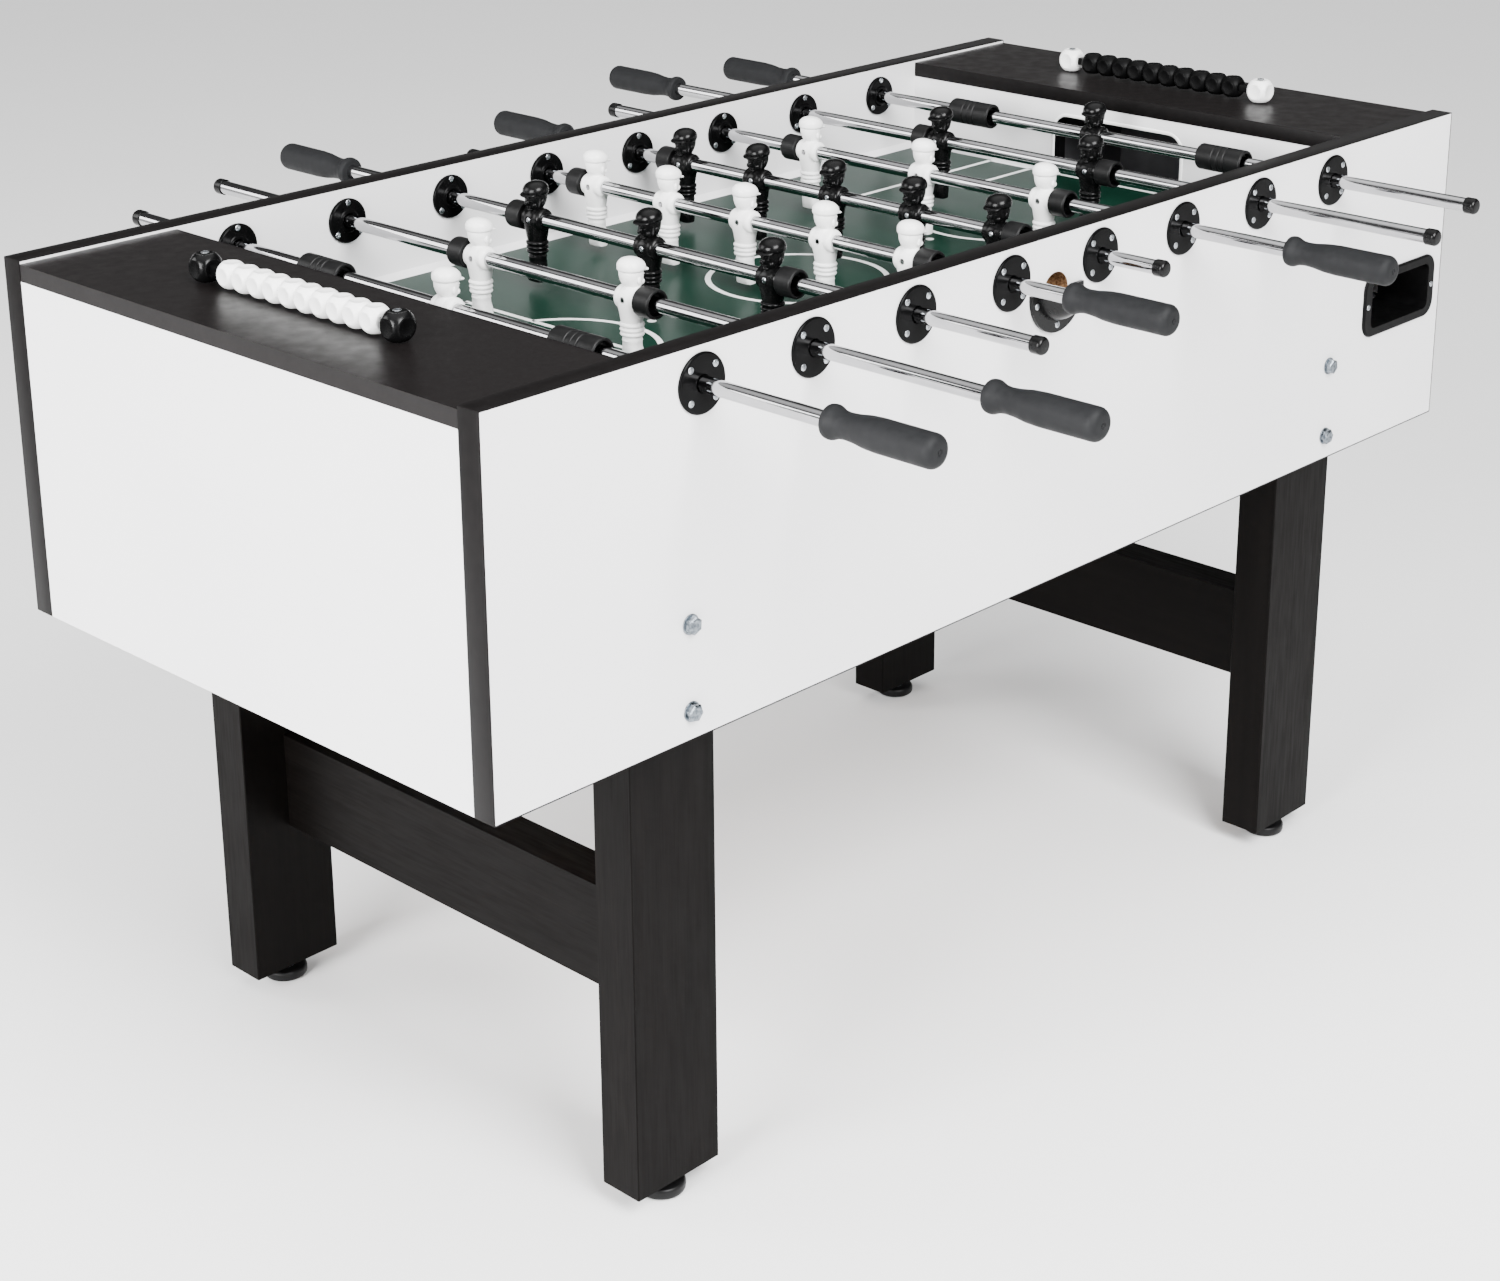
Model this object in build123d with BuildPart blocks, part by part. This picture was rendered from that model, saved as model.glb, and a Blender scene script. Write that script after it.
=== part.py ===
"""Full-size eight-rod foosball table on four legs, millimetres.

+X runs along the table, the return opening is on the front side (-Y), +Z is up.
The origin is on the floor below the middle of the cabinet.
"""
import math
import os

from build123d import *

os.makedirs("parts", exist_ok=True)

# ---------------------------------------------------------------- driving dimensions
length = 1580.0
field_length = 1200.0
field_width = 680.0
side_t = 27.0
cabinet_top = 908.0
cabinet_bottom = 520.0
board_t = 18.0
board_recess = 3.5
field_z = 791.0
field_t = 14.0

rod_z = 871.0
rod_pitch = 150.0
rod_r = 8.0
rod_wall = 2.5
run_gap = 0.05          # radial running clearance of every rod and liner

leg_depth = 114.0       # along X
leg_width = 52.0        # along Y
leg_outer_x = 600.0
leg_bottom = 24.0
leg_top = 680.0

# ---------------------------------------------------------------- worked-out positions
inner_y = field_width / 2
outer_y = inner_y + side_t
half_length = length / 2
field_end = field_length / 2
board_top = cabinet_top - board_recess
board_bottom = board_top - board_t
cabinet_height = cabinet_top - cabinet_bottom
cabinet_mid_z = (cabinet_top + cabinet_bottom) / 2
rod_xs = [rod_pitch * (i - 3.5) for i in range(8)]

goal_width = 200.0
goal_height = 78.0
goal_wall_t = 22.0
goal_back = field_end + goal_wall_t

throw_in_z = 847.0
throw_in_r = 20.5
cup_flange_r = 44.0
cup_bowl_r = 31.0
cup_wall = 3.0
cup_flange_t = 4.0

return_x = 692.5
return_z = 695.0
return_open = (130.0, 58.0, 9.0)       # width, height, corner radius
return_wall = 3.0
return_frame = (160.0, 80.0, 20.0)
return_frame_t = 3.5
return_depth = 67.0

leg_x = leg_outer_x - leg_depth / 2
leg_y = inner_y - leg_width / 2
bolt_zs = (638.5, 549.5)
bolt_r = 4.0
bolt_hole_r = 4.2

outer_plate_r = 30.0
outer_plate_t = 3.5
inner_plate_r = 25.5
inner_plate_t = 5.0
liner_r = 10.0
spigot_r = 13.0
spigot_gap = 0.1
plate_bore_r = 8.5
outer_screw_offset = 16.0
inner_screw_r = 21.0
inner_screw_angles = (90, 220, 320)
screw_head_r = 3.8
screw_head_t = 1.2
screw_shank_r = 2.0

# ---------------------------------------------------------------- the eight rods
# kind: (places of the men along the rod, rod middle to grip end, rod middle to cap end)
man_half = 15.5
bumper_len = 22.0
goalie_stop = 194.5
goalie_stop_len = 64.0
rod_kinds = {
    "goalie": ([0.0], 640.0, 537.0),
    "pair": ([-116.25, 116.25], 706.0, 584.0),
    "three": ([-181.5, 0.0, 181.5], 637.0, 537.0),
    "five": ([-242.0, -121.0, 0.0, 121.0, 242.0], 580.0, 467.0),
}
# from -X to +X: kind, side of the grip (-1 front, +1 rear), where the rod stands at rest
rods = [
    ("goalie", -1, -11.0),
    ("pair", -1, -3.5),
    ("three", 1, 8.0),
    ("five", -1, 10.5),
    ("five", 1, 12.5),
    ("three", -1, 5.5),
    ("pair", 1, -12.0),
    ("goalie", 1, -20.0),
]


def save(shape, name):
    shape.label = name
    export_step(shape, f"parts/{name}.step")


# ---------------------------------------------------------------- side panels
def side_panel(first_y, has_return):
    """One long side, from first_y towards the front, with its bearing, ball and bolt holes."""
    with BuildPart() as panel:
        with BuildSketch(Plane.XZ.offset(-first_y)):
            with Locations((0, cabinet_mid_z)):
                Rectangle(length, cabinet_height)
            with Locations(*[(x, rod_z) for x in rod_xs]):
                Circle(spigot_r + spigot_gap, mode=Mode.SUBTRACT)
            with Locations((0, throw_in_z)):
                Circle(throw_in_r, mode=Mode.SUBTRACT)
            with Locations(*[(x, z) for x in (-leg_x, leg_x) for z in bolt_zs]):
                Circle(bolt_hole_r, mode=Mode.SUBTRACT)
            if has_return:
                with Locations((return_x, return_z)):
                    width, height, corner = return_open
                    slack = 2 * return_wall + 0.6
                    RectangleRounded(width + slack, height + slack, corner + return_wall,
                                     mode=Mode.SUBTRACT)
        extrude(amount=side_t)
    return panel.part


save(side_panel(-inner_y, True), "side_panel_front")
save(side_panel(outer_y, False), "side_panel_rear")

# ---------------------------------------------------------------- end panels and top boards
with BuildPart() as end_panels:
    end_height = board_bottom - cabinet_bottom
    end_x = half_length - board_t / 2
    with Locations((-end_x, 0, cabinet_bottom + end_height / 2),
                   (end_x, 0, cabinet_bottom + end_height / 2)):
        Box(board_t, field_width, end_height)
save(end_panels.part, "end_panels")

with BuildPart() as top_boards:
    board_length = half_length - field_end
    board_x = field_end + board_length / 2
    with Locations((-board_x, 0, board_bottom + board_t / 2), (board_x, 0, board_bottom + board_t / 2)):
        Box(board_length, field_width, board_t)
save(top_boards.part, "top_boards")

# ---------------------------------------------------------------- playing field
with BuildPart() as playfield:
    with Locations((0, 0, field_z - field_t / 2)):
        Box(2 * goal_back, field_width, field_t)
save(playfield.part, "playfield")

strip_width = 10.0
strip_height = 6.0
with BuildPart() as side_strips:
    with BuildSketch(Plane.YZ.offset(-field_end)):
        with BuildLine():
            Polyline((inner_y, field_z), (inner_y - strip_width, field_z),
                     (inner_y, field_z + strip_height), close=True)
        make_face()
        mirror(about=Plane.YZ)
    extrude(amount=field_length)
save(side_strips.part, "side_strips")

# sloping floor that the balls roll down, and the battens that carry the field
runway_t = 10.0
runway_high = 738.0
runway_low = 697.0
runway_end_x = 612.0
runway_start_x = board_t - half_length
batten = 20.0
with BuildPart() as underfield_boards:
    with BuildSketch(Plane.XZ.offset(-inner_y + 2)):
        with BuildLine():
            Polyline((runway_start_x, runway_high), (runway_end_x, runway_low),
                     (runway_end_x, runway_low - runway_t), (runway_start_x, runway_high - runway_t),
                     close=True)
        make_face()
    extrude(amount=field_width - 4)
    batten_y = inner_y - batten / 2
    batten_z = field_z - field_t - batten / 2
    with Locations((0, batten_y, batten_z), (0, -batten_y, batten_z)):
        Box(field_length, batten, batten)
save(underfield_boards.part, "underfield_boards")

# ---------------------------------------------------------------- goal walls and ball chutes
goal_corner_r = 20.0
with BuildPart() as goal_walls:
    wall_height = board_bottom - field_z
    for start_x in (field_end, -goal_back):
        with BuildSketch(Plane.YZ.offset(start_x)):
            with Locations((0, field_z + wall_height / 2)):
                Rectangle(field_width, wall_height)
            with Locations((0, field_z)):
                RectangleRounded(goal_width, 2 * goal_height, goal_corner_r, mode=Mode.SUBTRACT)
        extrude(amount=goal_wall_t)
save(goal_walls.part, "goal_walls")

chute_wall = 3.0
chute_width = 226.0
chute_top = 875.0
chute_bottom = 752.0
chute_back = 764.0
chute_bend_r = 64.0


def hood(inset):
    """Solid hood shape behind a goal, rounded at the back, shrunk by the inset."""
    top = chute_top - inset
    back = chute_back - inset
    bend = chute_bend_r - inset
    low = chute_bottom - (inset > 0)
    front = goal_back - (inset > 0)
    width = chute_width - 2 * inset
    with BuildPart() as block:
        with BuildSketch(Plane.XZ.offset(-width / 2)):
            with BuildLine():
                Polyline((front, low), (front, top), (back - bend, top))
                RadiusArc((back - bend, top), (back, top - bend), bend)
                Polyline((back, top - bend), (back, low), (front, low))
            make_face()
        extrude(amount=width)
    return block.part


tray_t = 5.0
tray_high = 698.0
tray_low = 667.0
tray_front_y = 1.0 - outer_y + return_depth
with BuildPart() as ball_chutes:
    add(hood(0))
    add(hood(chute_wall), mode=Mode.SUBTRACT)
    mirror(about=Plane.YZ)
    # tray behind the return opening, sloping towards the front
    with BuildSketch(Plane.YZ.offset(runway_end_x + 2)):
        with BuildLine():
            Polyline((inner_y - 2, tray_high), (tray_front_y, tray_low),
                     (tray_front_y, tray_low - tray_t), (inner_y - 2, tray_high - tray_t), close=True)
        make_face()
    extrude(amount=half_length - board_t - runway_end_x - 4)
save(ball_chutes.part, "ball_chutes")

# ---------------------------------------------------------------- return cup and throw-in cups
with BuildPart() as return_cup:
    with BuildSketch(Plane.XZ.offset(outer_y)):
        with Locations((return_x, return_z)):
            RectangleRounded(*return_frame)
    extrude(amount=return_frame_t)
    fillet(return_cup.faces().sort_by(Axis.Y)[0].edges(), 2.5)
    with BuildSketch(Plane.XZ.offset(outer_y - return_depth)):
        with Locations((return_x, return_z)):
            width, height, corner = return_open
            RectangleRounded(width + 2 * return_wall, height + 2 * return_wall, corner + return_wall)
    extrude(amount=return_depth)
    with BuildSketch(Plane.XZ.offset(outer_y - return_depth)):
        with Locations((return_x, return_z)):
            RectangleRounded(*return_open)
    extrude(amount=return_depth + return_frame_t, mode=Mode.SUBTRACT)
    return_screw_x = (return_open[0] + return_frame[0]) / 4
    with BuildSketch(Plane.XZ.offset(outer_y)):
        with Locations((return_x - return_screw_x, return_z), (return_x + return_screw_x, return_z)):
            Circle(screw_shank_r)
    extrude(amount=return_frame_t, mode=Mode.SUBTRACT)
save(return_cup.part, "return_cup")

cup_screw_r = 36.0
cup_screw_angles = (195, 270, 345)
cup_screws = [(cup_screw_r * math.cos(math.radians(a)),
               throw_in_z + cup_screw_r * math.sin(math.radians(a))) for a in cup_screw_angles]
with BuildPart() as throw_in_cups:
    # half-round flange below the hole
    with BuildSketch(Plane.XZ.offset(outer_y)):
        with Locations((0, throw_in_z)):
            Circle(cup_flange_r)
            Circle(cup_bowl_r - cup_wall, mode=Mode.SUBTRACT)
        with Locations((0, throw_in_z + 3 + cup_flange_r)):
            Rectangle(3 * cup_flange_r, 2 * cup_flange_r, mode=Mode.SUBTRACT)
        with Locations(*cup_screws):
            Circle(screw_shank_r, mode=Mode.SUBTRACT)
    extrude(amount=cup_flange_t)
    # quarter-sphere bowl that stands out of the flange
    with BuildSketch(Plane((0, -outer_y, throw_in_z), x_dir=(1, 0, 0), z_dir=(0, 0, 1))):
        Circle(cup_bowl_r)
        Circle(cup_bowl_r - cup_wall, mode=Mode.SUBTRACT)
        with Locations((0, cup_bowl_r)):
            Rectangle(2 * cup_bowl_r, 2 * cup_bowl_r, mode=Mode.SUBTRACT)
    revolve(axis=Axis((0, -outer_y, throw_in_z), (1, 0, 0)), revolution_arc=90)
    mirror(about=Plane.XZ)
save(throw_in_cups.part, "throw_in_cups")

# ---------------------------------------------------------------- legs, stretchers and feet
foot_r = 25.0
foot_height = 15.0
foot_round = 5.0
stem_r = 5.0
stem_depth = 40.0
leg_places = [(x, y) for x in (-leg_x, leg_x) for y in (-leg_y, leg_y)]
with BuildPart() as legs:
    with Locations(*[(x, y, (leg_bottom + leg_top) / 2) for x, y in leg_places]):
        Box(leg_depth, leg_width, leg_top - leg_bottom)
    with BuildSketch(Plane.XY.offset(leg_bottom)):
        with Locations(*leg_places):
            Circle(stem_r)
    extrude(amount=stem_depth + 2, mode=Mode.SUBTRACT)
    with BuildSketch(Plane.XZ.offset(-inner_y)):
        with Locations(*[(x, z) for x in (-leg_x, leg_x) for z in bolt_zs]):
            Circle(bolt_hole_r)
    extrude(amount=field_width, mode=Mode.SUBTRACT)
    chamfer(legs.edges().filter_by(Axis.Z).filter_by(GeomType.LINE), 1.0)
save(legs.part, "legs")

stretcher_t = 50.0
stretcher_height = 113.0
stretcher_bottom = 201.0
stretcher_inset = 57.0
with BuildPart() as stretchers:
    stretcher_z = stretcher_bottom + stretcher_height / 2
    for leg_face_x in (-leg_outer_x, leg_outer_x - leg_depth):
        with Locations((leg_face_x + stretcher_inset + stretcher_t / 2, 0, stretcher_z)):
            Box(stretcher_t, 2 * (leg_y - leg_width / 2), stretcher_height)
save(stretchers.part, "stretchers")

with BuildPart() as levelling_feet:
    for foot_x, foot_y in leg_places:
        with BuildSketch(Plane((foot_x, foot_y, 0), x_dir=(1, 0, 0), z_dir=(0, -1, 0))):
            with BuildLine():
                Polyline((0, 0), (foot_r - foot_round, 0))
                RadiusArc((foot_r - foot_round, 0), (foot_r, foot_round), -foot_round)
                Polyline((foot_r, foot_round), (foot_r, foot_height - 2), (foot_r - 2, foot_height),
                         (stem_r, foot_height), (stem_r, leg_bottom + stem_depth),
                         (0, leg_bottom + stem_depth), (0, 0))
            make_face()
        revolve(axis=Axis((foot_x, foot_y, 0), (0, 0, 1)))
save(levelling_feet.part, "levelling_feet")

washer_r = 10.0
washer_t = 1.6
hex_across_corners_r = 7.5
hex_t = 5.5
with BuildPart() as leg_bolts:
    bolt_places = [(x, z) for x in (-leg_x, leg_x) for z in bolt_zs]
    bolt_inner_y = inner_y - leg_width
    with BuildSketch(Plane.XZ.offset(outer_y)):
        with Locations(*bolt_places):
            Circle(washer_r)
    extrude(amount=washer_t)
    with BuildSketch(Plane.XZ.offset(outer_y + washer_t)):
        with Locations(*bolt_places):
            RegularPolygon(hex_across_corners_r, 6)
    extrude(amount=hex_t)
    with BuildSketch(Plane.XZ.offset(bolt_inner_y - hex_t - 2)):
        with Locations(*bolt_places):
            Circle(bolt_r)
    extrude(amount=outer_y - bolt_inner_y + hex_t + 2)
    with BuildSketch(Plane.XZ.offset(bolt_inner_y - hex_t)):
        with Locations(*bolt_places):
            RegularPolygon(hex_across_corners_r, 6)
    extrude(amount=hex_t)
    mirror(about=Plane.XZ)
save(leg_bolts.part, "leg_bolts")

# ---------------------------------------------------------------- bearing flanges and their screws
outer_screws = [(x, rod_z + z) for rod_x in rod_xs
                for x in (rod_x - outer_screw_offset, rod_x + outer_screw_offset)
                for z in (-outer_screw_offset, outer_screw_offset)]
inner_screws = [(rod_x + inner_screw_r * math.cos(math.radians(a)),
                 rod_z + inner_screw_r * math.sin(math.radians(a)))
                for rod_x in rod_xs for a in inner_screw_angles]
rod_places = [(x, rod_z) for x in rod_xs]
inner_plate_y = inner_y - inner_plate_t


def plates(first_y, radius, thickness, bore_r, screws, rounded_side):
    """One round plate per rod in one row, its room side rounded over."""
    with BuildPart() as row:
        with BuildSketch(Plane.XZ.offset(first_y)):
            with Locations(*rod_places):
                Circle(radius)
        extrude(amount=thickness)
        rims = row.faces().filter_by(Plane.XZ).group_by(Axis.Y)[rounded_side].edges()
        fillet(rims, 1.5)
        with BuildSketch(Plane.XZ.offset(first_y)):
            with Locations(*rod_places):
                Circle(bore_r)
            with Locations(*screws):
                Circle(screw_shank_r)
        extrude(amount=thickness, mode=Mode.SUBTRACT)
    return row.part


with BuildPart() as bearing_flanges:
    add(plates(outer_y, outer_plate_r, outer_plate_t, plate_bore_r, outer_screws, 0))
    with BuildSketch(Plane.XZ.offset(inner_y)):
        with Locations(*rod_places):
            Circle(spigot_r)
            Circle(liner_r + run_gap, mode=Mode.SUBTRACT)
    extrude(amount=side_t)
    add(plates(inner_plate_y, inner_plate_r, inner_plate_t, plate_bore_r, inner_screws, -1))
    mirror(about=Plane.XZ)
save(bearing_flanges.part, "bearing_flanges")

# ---------------------------------------------------------------- score counters
counter_x = 697.5
counter_half = 148.5            # rail middle to post middle
post_size = (30.0, 28.0, 30.0)
post_chamfer = 7.0
counter_z = board_top + post_size[2] / 2
rail_side = 9.0
bead_count = 10
bead_pitch = 24.6
bead_t = 24.4
bead_side = 27.0
bead_chamfer = 6.5
bead_bore = 9.8
bead_rest_y = {"near": -5.5, "far": 3.0}

with BuildPart() as score_frames:
    post_places = [(x, y) for x in (-counter_x, counter_x) for y in (-counter_half, counter_half)]
    with Locations(*[(x, y, counter_z) for x, y in post_places]):
        Box(*post_size)
    chamfer(score_frames.edges(), post_chamfer)
    rail_length = 2 * counter_half - post_size[1]
    for rail_x in (-counter_x, counter_x):
        with Locations((rail_x, 0, counter_z)):
            Box(rail_side, rail_length, rail_side)
save(score_frames.part, "score_frames")

for end_name, bead_x in (("near", -counter_x), ("far", counter_x)):
    with BuildPart() as beads:
        first_y = bead_rest_y[end_name] - bead_pitch * (bead_count - 1) / 2
        with Locations(*[(bead_x, first_y + bead_pitch * k, counter_z) for k in range(bead_count)]):
            Box(bead_side, bead_t, bead_side)
        chamfer(beads.edges(), bead_chamfer)
        with Locations((bead_x, bead_rest_y[end_name], counter_z)):
            Box(bead_bore, 2 * counter_half, bead_bore, mode=Mode.SUBTRACT)
    save(beads.part, f"score_beads_{end_name}")


# ---------------------------------------------------------------- small screws of the plates
def screw_row(plate_y, plate_t, places):
    """Screws through a plate that lies on plate_y and faces the front, head on its face."""
    with BuildPart() as row:
        with BuildSketch(Plane.XZ.offset(plate_y)):
            with Locations(*places):
                Circle(screw_shank_r)
        extrude(amount=plate_t)
        with BuildSketch(Plane.XZ.offset(plate_y + plate_t)):
            with Locations(*places):
                Circle(screw_head_r)
        extrude(amount=screw_head_t, taper=20)
    return row.part


with BuildPart() as plate_screws:
    add(screw_row(outer_y, outer_plate_t, outer_screws))
    add(screw_row(outer_y, cup_flange_t, cup_screws))
    # the inner plates face the field, so their screws are the rear row seen from the front
    add(screw_row(-inner_y, inner_plate_t, inner_screws))
    mirror(about=Plane.XZ)
    add(screw_row(outer_y, return_frame_t,
                  [(return_x - return_screw_x, return_z), (return_x + return_screw_x, return_z)]))
    with BuildSketch(Plane.XY.offset(counter_z + post_size[2] / 2)):
        with Locations(*post_places):
            Circle(screw_head_r)
    extrude(amount=screw_head_t, taper=20)
save(plate_screws.part, "plate_screws")

# ---------------------------------------------------------------- figures
man_pin_r = 2.0
boss_r = 13.5
foot_size = (17.0, 22.0, 13.0)
foot_low = -72.0


def men(rod_x, ys, facing):
    with BuildPart() as team_row:
        for y in ys:
            # half section of a figure: radius against height above the rod
            with BuildSketch(Plane((rod_x, y, rod_z), x_dir=(1, 0, 0), z_dir=(0, -1, 0))):
                with BuildLine():
                    Polyline((0, foot_low + 4), (9, foot_low + 4), (9.6, -42), (10.2, -40))
                    Polyline((10.2, -40), (12.2, -37.5), (12.6, -35.5), (11.2, -34.5), (12.6, -32),
                             (13, -30), (11.6, -29), (13, -26.5), (13.4, -24.5), (12, -23.5))
                    Spline((12, -23.5), (13, -12), (13.8, 0), (12.5, 7), (8.5, 11.2))
                    Spline((8.5, 11.2), (8.2, 12.2), (10.6, 14.5), (12.8, 20), (13, 27))
                    Polyline((13, 27), (15.6, 28.2), (15.8, 30))
                    Spline((15.8, 30), (15.4, 35.5), (12.5, 40.6), (6, 42.8), (0, 43))
                    Polyline((0, 43), (0, foot_low + 4))
                make_face()
            revolve(axis=Axis((rod_x, y, rod_z), (0, 0, 1)))
            with BuildSketch(Plane.XZ.offset(-y - man_half)):
                with Locations((rod_x, rod_z)):
                    Circle(boss_r)
            extrude(amount=2 * man_half)
            with Locations((rod_x + 1.5 * facing, y, rod_z + foot_low + foot_size[2] / 2)):
                Box(*foot_size)
        feet_edges = team_row.edges().filter_by(Axis.Z).filter_by(GeomType.LINE)
        fillet(feet_edges.group_by(Axis.Z)[0], 2.5)
        with BuildSketch(Plane.XZ.offset(-ys[-1] - 2 * man_half)):
            with Locations((rod_x, rod_z)):
                Circle(rod_r)
        extrude(amount=ys[-1] - ys[0] + 4 * man_half, mode=Mode.SUBTRACT)
        with BuildSketch(Plane.YZ.offset(rod_x - boss_r - 1)):
            with Locations(*[(y, rod_z) for y in ys]):
                Circle(man_pin_r)
        extrude(amount=2 * boss_r + 2, mode=Mode.SUBTRACT)
    return team_row.part


# ---------------------------------------------------------------- grips, caps, bumpers, liners
grip_length = 126.0
grip_bore_depth = 112.0
cap_length = 14.0
cap_r = 9.2
cap_end_t = 3.0


def on_rod(rod_x):
    """Half-plane through a rod's axis: local x is the radius, local y is +Y."""
    return Plane((rod_x, 0, rod_z), x_dir=(1, 0, 0), z_dir=(0, 0, 1))


def rod_axis(rod_x):
    return Axis((rod_x, 0, rod_z), (0, 1, 0))


def grip_and_cap(rod_x, side, grip_end, cap_end):
    """Rubber grip on one end of the rod and a plastic cap on the other."""
    with BuildPart() as piece:
        with BuildSketch(on_rod(rod_x)):
            start = grip_end - side * grip_length

            def at(radius, along):
                return (radius, start + side * along)

            with BuildLine():
                Polyline(at(rod_r, 0), at(13.5, 0))
                Spline(at(13.5, 0), at(16, 2.5), at(16.4, 7), at(14.6, 13), at(12.6, 21), at(13.2, 32),
                       at(15.4, 45), at(16, 56))
                Polyline(at(16, 56), at(16.2, grip_length - 9))
                RadiusArc(at(16.2, grip_length - 9), at(7.2, grip_length), -9 * side)
                Polyline(at(7.2, grip_length), at(0, grip_length), at(0, grip_bore_depth),
                         at(rod_r, grip_bore_depth), at(rod_r, 0))
            make_face()
        revolve(axis=rod_axis(rod_x))
        with BuildSketch(on_rod(rod_x)):
            base = cap_end + side * cap_length

            def cap_at(radius, along):
                return (radius, base - side * along)

            with BuildLine():
                Polyline(cap_at(rod_r, 0), cap_at(cap_r, 0), cap_at(cap_r, cap_length - 3),
                         cap_at(cap_r - 2.5, cap_length - 0.4), cap_at(0, cap_length),
                         cap_at(0, cap_length - cap_end_t), cap_at(rod_r, cap_length - cap_end_t),
                         cap_at(rod_r, 0))
            make_face()
        revolve(axis=rod_axis(rod_x))
    return piece.part


bumper_r = 15.8
recess_r = 12.4
recess_depth = 9.0
bumper_corner = 1.2


def bumper(rod_x, inner_end, outward, total_length, both_ends):
    """Rubber ring on the rod with a cup-like recess in its outer end, or in both ends."""
    with BuildPart() as ring:
        with BuildSketch(on_rod(rod_x)):
            def at(radius, along):
                return (radius, inner_end + outward * along)

            if both_ends:
                half = total_length / 2
                groove = [at(bumper_r, half - 1.5), at(bumper_r - 1.5, half), at(bumper_r, half + 1.5)]
                inner_points = [at(rod_r, recess_depth / 2), at(recess_r, recess_depth / 2),
                                at(recess_r, 0)]
            else:
                groove = []
                inner_points = [at(rod_r, 0)]
            with BuildLine():
                Polyline(*inner_points, at(bumper_r - bumper_corner, 0), at(bumper_r, bumper_corner),
                         *groove, at(bumper_r, total_length - bumper_corner),
                         at(bumper_r - bumper_corner, total_length), at(recess_r, total_length),
                         at(recess_r, total_length - recess_depth),
                         at(rod_r, total_length - recess_depth), close=True)
            make_face()
        revolve(axis=rod_axis(rod_x))
    return ring.part


def rod_tube(rod_x, low_y, high_y, man_ys):
    """Hollow rod with one cross pin per figure."""
    with BuildPart() as tube:
        with BuildSketch(Plane.XZ.offset(-high_y)):
            with Locations((rod_x, rod_z)):
                Circle(rod_r)
                Circle(rod_r - rod_wall, mode=Mode.SUBTRACT)
        extrude(amount=high_y - low_y)
        with BuildSketch(Plane.YZ.offset(rod_x - boss_r)):
            with Locations(*[(y, rod_z) for y in man_ys]):
                Circle(man_pin_r)
        extrude(amount=2 * boss_r, mode=Mode.SUBTRACT)
    with BuildPart() as pins:
        with BuildSketch(Plane.YZ.offset(rod_x - boss_r)):
            with Locations(*[(y, rod_z) for y in man_ys]):
                Circle(man_pin_r)
        extrude(amount=2 * boss_r)
    return Compound(children=[*tube.part.solids(), *pins.part.solids()])


def liners(rod_x):
    """The two bearing liners of one rod, which turn with it inside the flanges."""
    with BuildPart() as pair:
        with BuildSketch(Plane.XZ.offset(inner_y + 0.2)):
            with Locations((rod_x, rod_z)):
                Circle(liner_r)
                Circle(rod_r + run_gap, mode=Mode.SUBTRACT)
        extrude(amount=side_t - 0.4)
        mirror(about=Plane.XZ)
    return pair.part


for number, (rod_x, (kind, side, rest_y)) in enumerate(zip(rod_xs, rods), start=1):
    man_ys, grip_reach, cap_reach = rod_kinds[kind]
    grip_end = rest_y + side * grip_reach
    cap_end = rest_y - side * cap_reach
    tube_ends = sorted((grip_end - side * (grip_length - grip_bore_depth), cap_end + side * cap_end_t))
    ys = [rest_y + y for y in man_ys]
    save(rod_tube(rod_x, *tube_ends, ys), f"rod_{number}")
    facing = 1 if side < 0 else -1
    save(men(rod_x, ys, facing), f"men_{number}")
    save(grip_and_cap(rod_x, side, grip_end, cap_end), f"grip_{number}")
    if kind == "goalie":
        stop_start = goalie_stop - goalie_stop_len / 2
        stop_length = goalie_stop_len
    else:
        stop_start = man_ys[-1] + man_half
        stop_length = bumper_len
    with BuildPart() as bumper_pair:
        for outward in (-1, 1):
            add(bumper(rod_x, rest_y + outward * stop_start, outward, stop_length, kind == "goalie"))
    save(bumper_pair.part, f"bumpers_{number}")
    save(liners(rod_x), f"liners_{number}")
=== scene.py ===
"""Looks of the foosball table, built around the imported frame. Metres, same axes as the CAD model."""

import math

import bmesh
import bpy
from mathutils import Matrix, Vector


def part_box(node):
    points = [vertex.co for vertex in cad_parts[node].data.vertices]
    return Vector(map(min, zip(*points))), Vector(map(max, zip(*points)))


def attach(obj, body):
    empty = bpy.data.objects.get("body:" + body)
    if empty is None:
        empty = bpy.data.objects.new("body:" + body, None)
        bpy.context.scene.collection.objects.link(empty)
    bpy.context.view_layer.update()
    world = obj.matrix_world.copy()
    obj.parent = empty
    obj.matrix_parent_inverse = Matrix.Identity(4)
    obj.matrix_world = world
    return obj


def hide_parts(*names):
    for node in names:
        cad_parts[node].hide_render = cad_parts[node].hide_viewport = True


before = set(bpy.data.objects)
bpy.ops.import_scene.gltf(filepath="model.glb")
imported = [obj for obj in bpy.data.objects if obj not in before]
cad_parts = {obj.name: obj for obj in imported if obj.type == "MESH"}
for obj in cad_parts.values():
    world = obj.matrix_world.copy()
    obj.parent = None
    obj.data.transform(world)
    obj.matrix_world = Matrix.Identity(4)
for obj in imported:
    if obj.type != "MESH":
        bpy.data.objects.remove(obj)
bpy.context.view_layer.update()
MM = 0.001

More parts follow.
